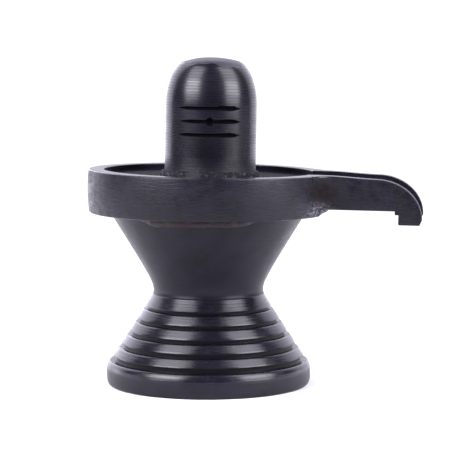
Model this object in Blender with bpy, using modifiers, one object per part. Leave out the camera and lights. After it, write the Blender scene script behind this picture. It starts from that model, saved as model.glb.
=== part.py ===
"""A small turned stone shivling, modelled in metres with +Z up.

A domed linga stands in the shallow dish of a yoni basin, whose spout points along +X.
The basin sits on a pedestal shaped like an hourglass, with five grooves round its foot.
The linga is bedded in cement and the basin is glued to the pedestal.
The origin is the middle of the pedestal's underside. The linga's mark faces -Y.
"""

import math

import bmesh
import bpy

# The pedestal, from its seat to its top
PEDESTAL_HEIGHT = 0.03895
SEAT_RADIUS = 0.0226
BASE_RADIUS = 0.02335
BASE_LOWER_ROUND = 0.0019
BASE_UPPER_ROUND = 0.0012
WAIST_HEIGHT = 0.02155
WAIST_RADIUS = 0.0126
CUP_SOFTNESS = 0.0025
CUP_RADIUS = 0.02205
FOOT_SOFTNESS = 0.0017
FOOT_RADIUS = 0.02245

# The grooves turned in the foot, from the highest to the lowest
GROOVE_COUNT = 5
GROOVE_TOP = 0.01755
GROOVE_PITCH = 0.0028
GROOVE_WIDTH_TOP = 0.0008
GROOVE_WIDTH_BOTTOM = 0.00125
GROOVE_DEPTH = 0.00045

# The basin's disc and dish
BASIN_RADIUS = 0.0277
BASIN_THICKNESS = 0.0095
BASIN_EDGE_ROUND = 0.0004
WALL_TOP_DRAW = 0.00012
WALL_FOOT_DRAW = 0.00036
RIM_WIDTH = 0.00365
DISH_DEPTH = 0.0015
DISH_ROUND = 0.0004
BASIN_LEAN = math.radians(1.06)
BASIN_WEDGE = math.radians(0.66)
BASIN_SHIFT = 0.00016

# The spout and the channel along its top
SPOUT_REACH = 0.0486
SPOUT_WIDTH = 0.0196
SPOUT_WALL = 0.0029
SPOUT_ROOT_ROUND = 0.0056
SPOUT_DEPTH = 0.0075
SPOUT_SLOPE = math.radians(2.2)
HOOK_REACH = 0.0104
HOOK_FALL = 0.0088
HOOK_LIP = 0.00525
HOOK_CORNER = 0.0009
LIP_ROUND = 0.0012
CHANNEL_DEPTH = 0.0016

# The chip broken from the disc's lower edge under the spout
CHIP_DEPTH = 0.0016
CHIP_HEIGHT = 0.0016
CHIP_AZIMUTH = math.radians(-2)

# The linga and the mark cut in its front
LINGA_RADIUS = 0.01037
LINGA_HEIGHT = 0.0269
LINGA_SHIFT = 0.0001
SHOULDER_WIDTH = 0.0053
CROWN_RADIUS = 0.0252
MARK_AZIMUTH = math.radians(-83.7)
LINE_COUNT = 3
LINE_WIDTH = 0.0008
LINE_PITCH = 0.00298
LINE_MIDDLE = 0.0126
LINE_DEPTH = 0.0004
LINE_HALF_ANGLE = math.radians(41)
DOT_RADIUS = 0.0009
DOT_DEPTH = 0.0006

# The cement round the linga's foot and the glue under the basin
CEMENT_HEIGHT = 0.00145
CEMENT_FOOT = 0.0008
CEMENT_TOP = 0.00025
GLUE_HEIGHT = 0.0009
GLUE_WIDTH = 0.0006

# The clearance kept between pieces that touch, and the fineness of the curves
GAP = 0.0003
MERGE = 0.00001
PEDESTAL_STEPS = 56
BASIN_STEPS = 64
LINGA_STEPS = 48
BEAD_STEPS = 48
SMOOTH_ANGLE = math.radians(32)

# Where the basin stands, with its low side just clear of the pedestal
SEAT_LEAN = BASIN_LEAN - BASIN_WEDGE
BASIN_SEAT = PEDESTAL_HEIGHT + GAP + CUP_RADIUS * math.tan(SEAT_LEAN)
DISH_RADIUS = BASIN_RADIUS - RIM_WIDTH
DISH_FLOOR = BASIN_THICKNESS - DISH_DEPTH


def new_collection(name):
    """A collection linked to the scene."""
    collection = bpy.data.collections.new(name)
    bpy.context.scene.collection.children.link(collection)
    return collection


def stone(name, colour, roughness):
    """A plain finish of one colour."""
    material = bpy.data.materials.new(name)
    material.use_nodes = True
    shader = material.node_tree.nodes["Principled BSDF"]
    shader.inputs["Base Color"].default_value = (*colour, 1.0)
    shader.inputs["Roughness"].default_value = roughness
    shader.inputs["Metallic"].default_value = 0.0
    return material


def add_object(name, mesh, collection):
    """An object for the mesh, in the collection."""
    obj = bpy.data.objects.new(name, mesh)
    collection.objects.link(obj)
    return obj


def hide_cutter(obj):
    """Show a cutter as wire and keep it out of pictures."""
    obj.display_type = "WIRE"
    obj.hide_render = True


def settle(obj):
    """Turn the object's modifiers into a plain mesh."""
    graph = bpy.context.evaluated_depsgraph_get()
    mesh = bpy.data.meshes.new_from_object(obj.evaluated_get(graph))
    mesh.name = obj.name
    obj.modifiers.clear()
    obj.data = mesh


def turned(name, profile, steps, collection, ring=False):
    """Turn a profile of (radius, height) points, listed down its outer side, round Z."""
    count = len(profile)
    edges = [(i, i + 1) for i in range(count - 1)]
    if ring:
        edges.append((count - 1, 0))
    mesh = bpy.data.meshes.new(name)
    mesh.from_pydata([(radius, 0.0, height) for radius, height in profile], edges, [])
    obj = add_object(name, mesh, collection)
    screw = obj.modifiers.new("Turn", "SCREW")
    screw.steps = steps
    screw.render_steps = steps
    screw.use_merge_vertices = True
    screw.merge_threshold = MERGE
    settle(obj)
    return obj


def slab(name, outline, thickness, collection):
    """A flat outline in X and Y, thickened evenly to both sides of its plane."""
    curve = bpy.data.curves.new(name, "CURVE")
    curve.dimensions = "2D"
    curve.fill_mode = "BOTH"
    curve.extrude = thickness / 2
    spline = curve.splines.new("POLY")
    spline.points.add(len(outline) - 1)
    for point, (x, y) in zip(spline.points, outline):
        point.co = (x, y, 0.0, 1.0)
    spline.use_cyclic_u = True
    flat = add_object(name + "_outline", curve, collection)
    graph = bpy.context.evaluated_depsgraph_get()
    mesh = bpy.data.meshes.new_from_object(flat.evaluated_get(graph))
    bpy.data.objects.remove(flat)
    work = bmesh.new()
    work.from_mesh(mesh)
    bmesh.ops.remove_doubles(work, verts=work.verts, dist=MERGE)
    bmesh.ops.recalc_face_normals(work, faces=work.faces)
    work.to_mesh(mesh)
    work.free()
    mesh.name = name
    return add_object(name, mesh, collection)


def combine(obj, other, operation):
    """Cut, join or intersect the object with another one."""
    boolean = obj.modifiers.new(other.name, "BOOLEAN")
    boolean.solver = "EXACT"
    boolean.operation = operation
    boolean.object = other
    settle(obj)


def finish(obj, material):
    """Give the object its finish and shade its round faces smooth."""
    obj.data.materials.clear()
    obj.data.materials.append(material)
    obj.data.shade_smooth()
    obj.data.set_sharp_from_angle(angle=SMOOTH_ANGLE)


def arc(centre, radii, start, end, pieces):
    """Points on an ellipse from one angle to another, both ends included."""
    points = []
    for i in range(pieces + 1):
        angle = start + (end - start) * i / pieces
        points.append((centre[0] + radii[0] * math.cos(angle), centre[1] + radii[1] * math.sin(angle)))
    return points


def flare(height, end_height, end_radius, softness):
    """The pedestal's radius where it opens from the waist to one of its ends."""
    def opening(fall):
        return math.hypot(fall, softness) - softness
    share = opening(height - WAIST_HEIGHT) / opening(end_height - WAIST_HEIGHT)
    return WAIST_RADIUS + (end_radius - WAIST_RADIUS) * share


def cup_flare(height):
    """The pedestal's radius above its waist."""
    return flare(height, PEDESTAL_HEIGHT, CUP_RADIUS, CUP_SOFTNESS)


def foot_flare(height):
    """The pedestal's radius between its waist and the top of its base."""
    return flare(height, groove_edges()[-1][1], FOOT_RADIUS, FOOT_SOFTNESS)


def groove_edges():
    """The upper and lower height of each groove, from the highest groove down."""
    edges = []
    for i in range(GROOVE_COUNT):
        share = i / max(GROOVE_COUNT - 1, 1)
        width = GROOVE_WIDTH_TOP + (GROOVE_WIDTH_BOTTOM - GROOVE_WIDTH_TOP) * share
        middle = GROOVE_TOP - GROOVE_PITCH * i
        edges.append((middle + width / 2, middle - width / 2))
    return edges


def pedestal_profile():
    """The hourglass, its grooved foot and the rounded base, listed downwards."""
    edges = groove_edges()
    base_top = edges[-1][1]
    profile = [(0.0, PEDESTAL_HEIGHT)]
    cup_pieces = 9
    bunching = 1.4
    for i in range(cup_pieces + 1):
        share = (1 - i / cup_pieces) ** bunching
        height = WAIST_HEIGHT + (PEDESTAL_HEIGHT - WAIST_HEIGHT) * share
        profile.append((cup_flare(height), height))
    first_pieces = 3
    for i in range(1, first_pieces + 1):
        height = WAIST_HEIGHT + (edges[0][0] - WAIST_HEIGHT) * i / (first_pieces + 1)
        profile.append((foot_flare(height), height))
    for upper, lower in edges:
        lip = foot_flare(upper)
        profile.append((lip, upper))
        profile.append((lip - GROOVE_DEPTH, upper))
        profile.append((lip - GROOVE_DEPTH, lower))
        if lower > base_top:
            profile.append((foot_flare(lower), lower))
    upper_centre = (FOOT_RADIUS, base_top - BASE_UPPER_ROUND)
    profile += arc(upper_centre, (BASE_RADIUS - FOOT_RADIUS, BASE_UPPER_ROUND), math.pi / 2, 0.0, 3)
    lower_centre = (SEAT_RADIUS, BASE_LOWER_ROUND)
    profile += arc(lower_centre, (BASE_RADIUS - SEAT_RADIUS, BASE_LOWER_ROUND), 0.0, -math.pi / 2, 3)
    profile.append((0.0, 0.0))
    return profile


def make_pedestal(collection):
    """The turned pedestal, cut from one stone."""
    obj = turned("pedestal", pedestal_profile(), PEDESTAL_STEPS, collection)
    finish(obj, stone("polished_black_stone_pedestal", (0.022, 0.022, 0.026), 0.35))
    return obj


def disc_profile():
    """The disc's slightly bellied wall with its edges eased, listed downwards."""
    top_radius = BASIN_RADIUS - WALL_TOP_DRAW
    foot_radius = BASIN_RADIUS - WALL_FOOT_DRAW
    ease = (BASIN_EDGE_ROUND, BASIN_EDGE_ROUND)
    top = arc((top_radius - BASIN_EDGE_ROUND, BASIN_THICKNESS - BASIN_EDGE_ROUND), ease, math.pi / 2, 0.0, 2)
    foot = arc((foot_radius - BASIN_EDGE_ROUND, BASIN_EDGE_ROUND), ease, 0.0, -math.pi / 2, 2)
    return [(0.0, BASIN_THICKNESS)] + top + [(BASIN_RADIUS, BASIN_THICKNESS / 2)] + foot + [(0.0, 0.0)]


def tilt_underside(obj):
    """Raise the disc's underside towards the spout, while its rim stays as it is."""
    for vertex in obj.data.vertices:
        share = 1 - vertex.co.z / BASIN_THICKNESS
        vertex.co.z += vertex.co.x * math.tan(BASIN_WEDGE) * share


def spout_plan():
    """The spout seen from above, with its root swept into the disc on both sides."""
    half = SPOUT_WIDTH / 2
    reach = BASIN_RADIUS + SPOUT_ROOT_ROUND
    centre_y = half + SPOUT_ROOT_ROUND
    centre_x = math.sqrt(reach ** 2 - centre_y ** 2)
    start = math.atan2(-centre_y, -centre_x) + 2 * math.pi
    radii = (SPOUT_ROOT_ROUND, SPOUT_ROOT_ROUND)
    sweep = arc((centre_x, centre_y), radii, start, 1.5 * math.pi, 4)
    side = [(0.0, sweep[0][1])] + sweep + [(SPOUT_REACH, half)]
    return side + [(x, -y) for x, y in reversed(side)]


def spout_top(inset):
    """The line along the spout's top and over its hook, or one a set depth inside it."""
    bend = SPOUT_REACH - HOOK_REACH
    fall = (bend - DISH_RADIUS) * math.tan(SPOUT_SLOPE)
    centre = (bend, BASIN_THICKNESS - fall - HOOK_FALL)
    radii = (HOOK_REACH - inset, HOOK_FALL - inset)
    start = (DISH_RADIUS, BASIN_THICKNESS - inset)
    return [start] + arc(centre, radii, math.pi / 2, 0.0, 9)


def spout_side():
    """The spout seen from the side: its top, the hook's lip and the flat underside."""
    top = spout_top(0.0)
    underside = BASIN_THICKNESS - SPOUT_DEPTH
    lip_foot = top[-1][1] - LIP_ROUND
    lip_centre = (SPOUT_REACH - LIP_ROUND, top[-1][1])
    lip = arc(lip_centre, (LIP_ROUND, LIP_ROUND), 0.0, -math.pi / 2, 2)[1:]
    inner = SPOUT_REACH - HOOK_LIP
    inside = [(inner, lip_foot), (inner, underside - HOOK_CORNER), (inner - HOOK_CORNER, underside)]
    return [(0.0, BASIN_THICKNESS)] + top + lip + inside + [(0.0, underside)]


def channel_side():
    """The space cut out above the channel's floor, which leaves the dish's floor at its mouth."""
    floor = spout_top(CHANNEL_DEPTH)[1:]
    bend, bend_floor = floor[0]
    mouth = math.sqrt((DISH_RADIUS - DISH_ROUND) ** 2 - (SPOUT_WIDTH / 2 - SPOUT_WALL) ** 2)
    rise = mouth * (DISH_FLOOR - bend_floor) / (bend - mouth)
    outside = SPOUT_REACH + CHANNEL_DEPTH
    below = floor[-1][1] - LIP_ROUND - CHANNEL_DEPTH
    above = BASIN_THICKNESS + CHANNEL_DEPTH
    start = [(0.0, above), (0.0, DISH_FLOOR + rise)]
    return start + floor + [(floor[-1][0], below), (outside, below), (outside, above)]


def stand_up(obj):
    """Turn a slab drawn in X and Y so that its outline stands in X and Z."""
    for vertex in obj.data.vertices:
        x, y, z = vertex.co
        vertex.co = (x, -z, y)


def chip_cutter(collection):
    """A block whose inner face is the broken surface at the disc's lower edge."""
    size = 2 * BASIN_RADIUS
    bpy.ops.mesh.primitive_cube_add(size=size)
    block = bpy.context.active_object
    block.name = "chip_cutter"
    for other in list(block.users_collection):
        other.objects.unlink(block)
    collection.objects.link(block)
    slant = math.atan2(CHIP_DEPTH, CHIP_HEIGHT)
    edge = BASIN_RADIUS - WALL_FOOT_DRAW
    inner = edge - CHIP_DEPTH
    for vertex in block.data.vertices:
        across, along, out = vertex.co.z, vertex.co.y, vertex.co.x + size / 2
        radius = inner + out * math.cos(slant) + across * math.sin(slant)
        height = -out * math.sin(slant) + across * math.cos(slant)
        x = radius * math.cos(CHIP_AZIMUTH) - along * math.sin(CHIP_AZIMUTH)
        y = radius * math.sin(CHIP_AZIMUTH) + along * math.cos(CHIP_AZIMUTH)
        vertex.co = (x, y, height + x * math.tan(BASIN_WEDGE))
    hide_cutter(block)
    return block


def make_basin(collection, cutters):
    """The disc with its dish, spout and channel, cut from one stone."""
    disc = turned("yoni_basin", disc_profile(), BASIN_STEPS, collection)
    tilt_underside(disc)
    combine(disc, chip_cutter(cutters), "DIFFERENCE")
    spout_height = 4 * BASIN_THICKNESS
    spout = slab("spout_plan", spout_plan(), spout_height, cutters)
    side = slab("spout_side", spout_side(), 2 * BASIN_RADIUS, cutters)
    stand_up(side)
    combine(spout, side, "INTERSECT")
    combine(disc, spout, "UNION")
    dish_top = BASIN_THICKNESS + DISH_DEPTH
    eased = arc((DISH_RADIUS - DISH_ROUND, DISH_FLOOR + DISH_ROUND), (DISH_ROUND, DISH_ROUND), 0.0, -math.pi / 2, 2)
    dish_profile = [(0.0, dish_top), (DISH_RADIUS, dish_top)] + eased + [(0.0, DISH_FLOOR)]
    dish = turned("dish_cutter", dish_profile, BASIN_STEPS, cutters)
    combine(disc, dish, "DIFFERENCE")
    channel = slab("channel_cutter", channel_side(), SPOUT_WIDTH - 2 * SPOUT_WALL, cutters)
    stand_up(channel)
    combine(disc, channel, "DIFFERENCE")
    for cutter in (spout, side, dish, channel):
        hide_cutter(cutter)
    finish(disc, stone("honed_black_stone_basin", (0.035, 0.034, 0.040), 0.5))
    return disc


def linga_profile():
    """The shaft and its dome, a flat crown between rounded shoulders, listed downwards."""
    flat = LINGA_RADIUS - SHOULDER_WIDTH
    slope = flat / CROWN_RADIUS
    ratio = slope * SHOULDER_WIDTH / LINGA_RADIUS
    turn = math.atan(ratio)
    crown_edge = flat + SHOULDER_WIDTH * math.sin(turn)
    crown_rise = CROWN_RADIUS - math.sqrt(CROWN_RADIUS ** 2 - crown_edge ** 2)
    shoulder_base = LINGA_HEIGHT - crown_rise - LINGA_RADIUS * math.cos(turn)
    profile = [(0.0, LINGA_HEIGHT)]
    half = crown_edge / 2
    profile.append((half, LINGA_HEIGHT - CROWN_RADIUS + math.sqrt(CROWN_RADIUS ** 2 - half ** 2)))
    shoulder = arc((flat, shoulder_base), (SHOULDER_WIDTH, LINGA_RADIUS), math.pi / 2 - turn, 0.0, 9)
    return profile + shoulder + [(LINGA_RADIUS, 0.0), (0.0, 0.0)]


def cut_mark(linga, cutters):
    """Three lines, deepest in the middle and fading at both ends, and the dot between them."""
    side = LINGA_RADIUS * math.sin(LINE_HALF_ANGLE)
    front = LINGA_RADIUS * math.cos(LINE_HALF_ANGLE)
    floor_front = LINGA_RADIUS - LINE_DEPTH
    offset = (side ** 2 + front ** 2 - floor_front ** 2) / (2 * (floor_front - front))
    inner = floor_front + offset
    outer = inner + LINGA_RADIUS
    away = (math.cos(MARK_AZIMUTH) * -offset, math.sin(MARK_AZIMUTH) * -offset)
    mouth_half = LINE_WIDTH / 2
    floor_half = mouth_half / 2
    for i in range(LINE_COUNT):
        height = LINE_MIDDLE + LINE_PITCH * (i - (LINE_COUNT - 1) / 2)
        mouth = [(outer, height + mouth_half), (outer, height - mouth_half)]
        floor = [(inner, height - floor_half), (inner, height + floor_half)]
        line = turned("line_cutter_%d" % (i + 1), mouth + floor, LINGA_STEPS, cutters, ring=True)
        for vertex in line.data.vertices:
            vertex.co.x += away[0]
            vertex.co.y += away[1]
        combine(linga, line, "DIFFERENCE")
        hide_cutter(line)
    distance = LINGA_RADIUS - DOT_DEPTH + DOT_RADIUS
    bpy.ops.mesh.primitive_uv_sphere_add(segments=14, ring_count=8, radius=DOT_RADIUS)
    dot = bpy.context.active_object
    dot.name = "dot_cutter"
    for other in list(dot.users_collection):
        other.objects.unlink(dot)
    cutters.objects.link(dot)
    for vertex in dot.data.vertices:
        vertex.co.x += distance * math.cos(MARK_AZIMUTH)
        vertex.co.y += distance * math.sin(MARK_AZIMUTH)
        vertex.co.z += LINE_MIDDLE
    combine(linga, dot, "DIFFERENCE")
    hide_cutter(dot)


def make_linga(collection, cutters):
    """The domed shaft, cut from one stone."""
    obj = turned("linga", linga_profile(), LINGA_STEPS, collection)
    cut_mark(obj, cutters)
    finish(obj, stone("polished_black_stone_linga", (0.020, 0.020, 0.024), 0.3))
    return obj


def make_cement(collection):
    """The bead of cement that beds the linga in the dish."""
    inner = LINGA_RADIUS + GAP
    top_centre = (inner + CEMENT_TOP, 0.0)
    face = arc(top_centre, (CEMENT_FOOT - CEMENT_TOP, CEMENT_HEIGHT), math.pi / 2, 0.0, 3)
    profile = face + [(inner, 0.0), (inner, CEMENT_HEIGHT)]
    obj = turned("bedding_cement", profile, BEAD_STEPS, collection, ring=True)
    finish(obj, stone("grey_bedding_cement", (0.10, 0.095, 0.10), 0.85))
    return obj


def make_glue(collection):
    """The bead of glue squeezed out under the basin, round the pedestal's top edge."""
    top = PEDESTAL_HEIGHT
    foot = top - GLUE_HEIGHT
    top_inner = CUP_RADIUS + GAP
    foot_inner = cup_flare(foot) + GAP
    face = arc((top_inner, top), (GLUE_WIDTH, GLUE_HEIGHT), 0.0, -math.pi / 2, 3)
    profile = face + [(foot_inner, foot), (top_inner, top)]
    obj = turned("joint_adhesive", profile, BEAD_STEPS, collection, ring=True)
    finish(obj, stone("red_brown_adhesive", (0.10, 0.04, 0.04), 0.45))
    return obj


def main():
    """Build the whole object."""
    for obj in list(bpy.data.objects):
        bpy.data.objects.remove(obj)
    parts = new_collection("shiva_lingam")
    cutters = new_collection("cutters")
    make_pedestal(parts)
    make_glue(parts)
    basin = make_basin(parts, cutters)
    linga = make_linga(parts, cutters)
    cement = make_cement(parts)
    seat = bpy.data.objects.new("basin_seat", None)
    parts.objects.link(seat)
    seat.location = (BASIN_SHIFT, 0.0, BASIN_SEAT)
    seat.rotation_euler = (0.0, BASIN_LEAN, 0.0)
    for obj in (basin, linga, cement):
        obj.parent = seat
    for obj in (linga, cement):
        obj.location = (LINGA_SHIFT, 0.0, DISH_FLOOR + GAP)


main()
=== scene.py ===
"""The looks of a small turned black stone shivling, made in the order it is put together.

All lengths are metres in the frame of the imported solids: +Z up, +X along the spout, and the
linga's mark faces -Y. The pedestal stands on z = 0.
"""
import math

import bmesh
import bpy
import numpy as np
from mathutils import Matrix, Quaternion, Vector, noise


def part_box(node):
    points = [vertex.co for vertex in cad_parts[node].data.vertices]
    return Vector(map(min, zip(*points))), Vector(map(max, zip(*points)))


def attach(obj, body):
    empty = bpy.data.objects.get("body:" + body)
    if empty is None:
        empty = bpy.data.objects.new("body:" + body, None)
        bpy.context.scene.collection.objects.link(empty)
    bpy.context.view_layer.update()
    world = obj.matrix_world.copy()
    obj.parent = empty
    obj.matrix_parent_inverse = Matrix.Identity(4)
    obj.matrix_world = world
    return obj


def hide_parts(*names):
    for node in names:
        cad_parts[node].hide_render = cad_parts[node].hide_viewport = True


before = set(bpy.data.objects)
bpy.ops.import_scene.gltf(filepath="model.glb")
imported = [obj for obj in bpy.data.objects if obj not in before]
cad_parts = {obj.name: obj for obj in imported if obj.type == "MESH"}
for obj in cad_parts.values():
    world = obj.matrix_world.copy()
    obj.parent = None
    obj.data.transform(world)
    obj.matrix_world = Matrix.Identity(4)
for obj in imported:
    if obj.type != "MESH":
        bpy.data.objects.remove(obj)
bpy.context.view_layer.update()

# The pedestal
# One black stone, turned on a lathe into an hourglass with five grooves plunged round its foot.
# The stem is left satin from the cutting tool, and the foot is rubbed with wax until it shines.
# It is one piece from the basin's underside to the rounded base that it stands on.
pedestal_low, pedestal_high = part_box("pedestal")
PEDESTAL_HEIGHT = pedestal_high[2]
BASE_RADIUS = (pedestal_high[0] - pedestal_low[0]) / 2
SEAT_RADIUS = 0.0226
BASE_LOWER_ROUND = 0.0019
BASE_UPPER_ROUND = 0.0023
WAIST_HEIGHT = 0.02155
WAIST_RADIUS = 0.0126
CUP_SOFTNESS = 0.0025
CUP_RADIUS = 0.02205
FOOT_SOFTNESS = 0.0009
FOOT_RADIUS = 0.02245
CREASE_HEIGHT = 0.02075
NICK_DEPTH = 0.00012
GROOVE_COUNT = 5
GROOVE_TOP = 0.01766
GROOVE_PITCH = 0.002905
GROOVE_WIDTH_TOP = 0.0007
GROOVE_WIDTH_BOTTOM = 0.00115
GROOVE_DEPTH = 0.0006
BAND_BULGE = 0.00003
ARRIS = 0.00006
TOOL_PITCH = 0.0006
BASE_WALL_TOP = 0.0036
TURNED_STEPS = 288


def linear(code):
    """A linear colour, with alpha, from an sRGB hex code."""
    channels = [int(code[i:i + 2], 16) / 255 for i in (0, 2, 4)]
    return [c / 12.92 if c <= 0.04045 else ((c + 0.055) / 1.055) ** 2.4 for c in channels] + [1.0]


def feed(node, inputs):
    """Give a node's inputs values, or link them to other sockets."""
    for key, value in inputs.items():
        if isinstance(value, bpy.types.NodeSocket):
            node.id_data.links.new(value, node.inputs[key])
        else:
            node.inputs[key].default_value = value


def add(tree, kind, inputs=None, stops=(), **settings):
    """Add a node with its settings, a ramp's (place, colour) stops and its inputs."""
    node = tree.nodes.new(kind)
    for name, value in settings.items():
        setattr(node, name, value)
    if stops:
        elements = node.color_ramp.elements
        while len(elements) < len(stops):
            elements.new(0.5)
        for element, (place, colour) in zip(elements, stops):
            element.position = place
            element.color = colour
    feed(node, inputs or {})
    return node


def grey(value):
    """A grey for a ramp that carries a number."""
    return (value, value, value, 1.0)


def turning_tree():
    """Geometry nodes that turn a profile round Z, with the unevenness of handwork on it."""
    tree = bpy.data.node_groups.new("turned_piece", "GeometryNodeTree")
    sockets = tree.interface
    sockets.new_socket("Geometry", in_out="OUTPUT", socket_type="NodeSocketGeometry")
    sockets.new_socket("Profile", in_out="INPUT", socket_type="NodeSocketGeometry")
    sockets.new_socket("Steps", in_out="INPUT", socket_type="NodeSocketInt")
    for name in ("Wander", "Wander Size", "Grain", "Grain Size", "Seed"):
        sockets.new_socket(name, in_out="INPUT", socket_type="NodeSocketFloat")
    sockets.new_socket("Material", in_out="INPUT", socket_type="NodeSocketMaterial")
    given = add(tree, "NodeGroupInput").outputs
    size = add(tree, "GeometryNodeAttributeDomainSize", {"Geometry": given["Profile"]})
    rows = size.outputs["Point Count"]
    columns = add(tree, "ShaderNodeMath", {0: given["Steps"], 1: 1.0}, operation="ADD").outputs[0]
    grid = add(tree, "GeometryNodeMeshGrid", {"Vertices X": columns, "Vertices Y": rows})
    index = add(tree, "GeometryNodeInputIndex").outputs["Index"]
    row = add(tree, "ShaderNodeMath", {0: index, 1: rows}, operation="MODULO").outputs[0]
    share = add(tree, "ShaderNodeMath", {0: index, 1: rows}, operation="DIVIDE").outputs[0]
    column = add(tree, "ShaderNodeMath", {0: share}, operation="FLOOR").outputs[0]
    turn = add(tree, "ShaderNodeMath", {0: column, 1: given["Steps"]}, operation="DIVIDE").outputs[0]
    angle = add(tree, "ShaderNodeMath", {0: turn, 1: 2 * math.pi}, operation="MULTIPLY").outputs[0]
    place = add(tree, "GeometryNodeInputPosition").outputs["Position"]
    inputs = {"Geometry": given["Profile"], "Value": place, "Index": row}
    point = add(tree, "GeometryNodeSampleIndex", inputs, data_type="FLOAT_VECTOR").outputs["Value"]
    inputs = {"Vector": point, "Angle": angle}
    spun = add(tree, "ShaderNodeVectorRotate", inputs, rotation_type="Z_AXIS").outputs[0]
    inputs = {"Geometry": grid.outputs["Mesh"], "Position": spun}
    placed = add(tree, "GeometryNodeSetPosition", inputs).outputs["Geometry"]
    inputs = {"Geometry": placed, "Distance": 0.000001}
    geometry = add(tree, "GeometryNodeMergeByDistance", inputs).outputs["Geometry"]
    for amount, scale in (("Wander", "Wander Size"), ("Grain", "Grain Size")):
        fine = add(tree, "ShaderNodeMath", {0: 1.0, 1: given[scale]}, operation="DIVIDE").outputs[0]
        inputs = {"Vector": place, "W": given["Seed"], "Scale": fine, "Detail": 2.0}
        lumps = add(tree, "ShaderNodeTexNoise", inputs, noise_dimensions="4D").outputs[0]
        centred = add(tree, "ShaderNodeMath", {0: lumps, 1: 0.5}, operation="SUBTRACT").outputs[0]
        inputs = {0: centred, 1: given[amount]}
        push = add(tree, "ShaderNodeMath", inputs, operation="MULTIPLY").outputs[0]
        normal = add(tree, "GeometryNodeInputNormal").outputs["Normal"]
        offset = add(tree, "ShaderNodeVectorMath", {0: normal, "Scale": push}, operation="SCALE")
        inputs = {"Geometry": geometry, "Offset": offset.outputs[0]}
        geometry = add(tree, "GeometryNodeSetPosition", inputs).outputs["Geometry"]
    real = add(tree, "GeometryNodeRealizeInstances", {"Geometry": geometry})
    inputs = {"Geometry": real.outputs["Geometry"], "Material": given["Material"]}
    painted = add(tree, "GeometryNodeSetMaterial", inputs)
    add(tree, "NodeGroupOutput", {"Geometry": painted.outputs["Geometry"]})
    return tree


TURNING = turning_tree()


def link(name, mesh):
    """A new object for a mesh, in the scene."""
    obj = bpy.data.objects.new(name, mesh)
    bpy.context.scene.collection.objects.link(obj)
    return obj


def face_outwards(mesh):
    """Join what touches in a closed mesh and point all its faces out."""
    work = bmesh.new()
    work.from_mesh(mesh)
    bmesh.ops.remove_doubles(work, verts=work.verts, dist=0.0000005)
    bmesh.ops.recalc_face_normals(work, faces=work.faces)
    work.to_mesh(mesh)
    work.free()


def turn_profile(name, profile, steps, material, ring=False, **uneven):
    """Turn a profile of (radius, height) points round Z and give back a plain mesh object."""
    line = profile + profile[:1] if ring else profile
    mesh = bpy.data.meshes.new(name)
    mesh.from_pydata([(r, 0.0, z) for r, z in line], [(i, i + 1) for i in range(len(line) - 1)], [])
    obj = link(name, mesh)
    given = {"Steps": steps, "Material": material, "Seed": 1.0}
    given.update({"Wander": 0.0, "Wander Size": 0.01, "Grain": 0.0, "Grain Size": 0.001})
    given.update({key.replace("_", " ").title(): value for key, value in uneven.items()})
    modifier = obj.modifiers.new("Turning", "NODES")
    modifier.node_group = TURNING
    for socket in TURNING.interface.items_tree:
        if socket.in_out == "INPUT" and socket.name in given:
            modifier[socket.identifier] = given[socket.name]
    graph = bpy.context.evaluated_depsgraph_get()
    result = bpy.data.meshes.new_from_object(obj.evaluated_get(graph))
    obj.modifiers.clear()
    obj.data = result
    result.materials.clear()
    result.materials.append(material)
    for face in result.polygons:
        face.material_index = 0
    face_outwards(result)
    return obj


def shade(obj, sharp_angle=40):
    """Shade the object smooth and keep its sharp edges."""
    obj.data.shade_smooth()
    obj.data.set_sharp_from_angle(angle=math.radians(sharp_angle))


def paint(obj, material, test):
    """Give one more material to the faces that pass a test."""
    obj.data.materials.append(material)
    for face in obj.data.polygons:
        if test(face):
            face.material_index = len(obj.data.materials) - 1


def arc(centre, radii, start, end, pieces):
    """Points on an ellipse from one angle to another in degrees, both ends included."""
    points = []
    for i in range(pieces + 1):
        angle = math.radians(start + (end - start) * i / pieces)
        points.append((centre[0] + radii[0] * math.cos(angle), centre[1] + radii[1] * math.sin(angle)))
    return points


def flare(height, end_height, end_radius, softness):
    """The pedestal's radius where it opens from the waist to one of its ends."""
    def opening(fall):
        return math.hypot(fall, softness) - softness
    share = opening(height - WAIST_HEIGHT) / opening(end_height - WAIST_HEIGHT)
    return WAIST_RADIUS + (end_radius - WAIST_RADIUS) * share


def groove_edges():
    """The upper and lower height of each groove, from the highest groove down."""
    edges = []
    for i in range(GROOVE_COUNT):
        width = GROOVE_WIDTH_TOP + (GROOVE_WIDTH_BOTTOM - GROOVE_WIDTH_TOP) * i / (GROOVE_COUNT - 1)
        middle = GROOVE_TOP - GROOVE_PITCH * i
        edges.append((middle + width / 2, middle - width / 2))
    return edges


def band(upper, lower, base_top):
    """One raised band of the foot between two grooves, slightly bellied, with eased edges."""
    points = []
    pieces = 12
    for i in range(pieces + 1):
        share = i / pieces
        height = upper + (lower - upper) * share
        belly = BAND_BULGE * (1 - (2 * share - 1) ** 2)
        edge = min(share, 1 - share) * (upper - lower)
        ease = ARRIS - math.sqrt(max(ARRIS ** 2 - max(ARRIS - edge, 0.0) ** 2, 0.0))
        points.append((flare(height, base_top, FOOT_RADIUS, FOOT_SOFTNESS) + belly - ease, height))
    return points


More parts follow.
